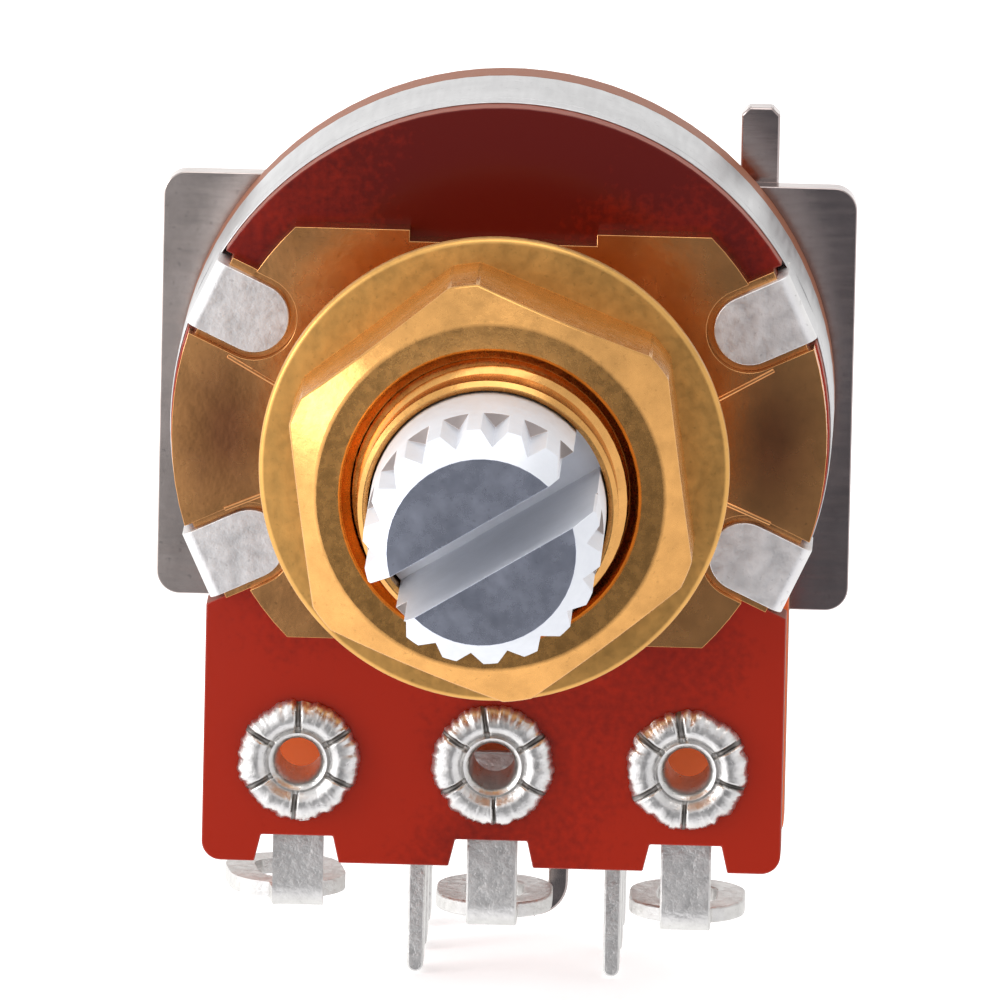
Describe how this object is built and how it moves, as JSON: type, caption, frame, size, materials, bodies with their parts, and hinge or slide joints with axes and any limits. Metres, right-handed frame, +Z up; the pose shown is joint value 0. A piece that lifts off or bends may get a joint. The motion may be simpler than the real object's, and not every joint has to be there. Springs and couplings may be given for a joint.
{
  "type": "rotary potentiometer",
  "caption": "Rotary potentiometer with a splined split shaft, threaded brass bushing, nut and washer, solder terminals, and a push-pull switch behind it.",
  "frame": {"origin": "on the shaft axis, at the front face of the front plate that seats against a panel", "axes": "-Y along the shaft towards its splined end, +X right as seen from the front, +Z up, with the terminals hanging to -Z"},
  "size_m": [0.0178, 0.0326, 0.0243],
  "materials": {
    "yellow_zinc": "yellow-passivated steel, glossy",
    "brass": "turned, satin",
    "phenolic_red": "red-brown phenolic laminate, glossy",
    "phenolic_tan": "orange-brown phenolic laminate",
    "carbon": "carbon film",
    "silver_print": "silver print",
    "tin": "tin-plated brass",
    "tinplate": "tin-plated steel, satin",
    "steel": "steel, smooth",
    "nylon_white": "moulded",
    "nylon_black": "moulded",
    "aluminium": "turned, bright"
  },
  "bodies": {
    "housing": {"front_plate": "yellow_zinc", "bushing": "brass", "washer": "brass", "hex_nut": "brass", "element_wafer": "phenolic_red", "resistive_track": "carbon", "collector_ring": "silver_print", "terminal_left": "tin", "terminal_middle": "tin", "terminal_right": "tin", "eyelet_left": "tin", "eyelet_middle": "tin", "eyelet_right": "tin", "can": "tinplate", "rear_board": "phenolic_tan", "link_strip": "tin", "rivet_1": "tinplate", "rivet_2": "tinplate", "rivet_3": "tinplate", "rivet_4": "tinplate", "cage": "steel", "ground_tab": "steel", "switch_base": "phenolic_red", "pin_1": "tin", "pin_2": "tin", "pin_3": "tin", "pin_4": "tin", "pin_5": "tin", "pin_6": "tin", "hooked_strip": "steel"},
    "turning": {"rotor": "nylon_white", "wiper": "brass"},
    "shaft": {"shaft": "aluminium"},
    "sliding": {"slider": "nylon_black", "bridge_left": "brass", "bridge_right": "brass", "detent_ball": "steel"}
  },
  "joints": [
    {"name": "rotor_turn", "type": "hinge", "parent": "housing", "child": "turning", "pos_m": [0, 0, 0], "axis": [0, -1, 0], "range_deg": [-150, 150]},
    {"name": "shaft_pull", "type": "slide", "parent": "turning", "child": "shaft", "axis": [0, -1, 0], "range_m": [0, 0.003]},
    {"name": "switch_slide", "type": "slide", "parent": "housing", "child": "sliding", "axis": [0, -1, 0], "range_m": [0, 0.003]}
  ],
  "couplings": [
    {"joint": "switch_slide", "follows": "shaft_pull", "ratio": 1}
  ]
}
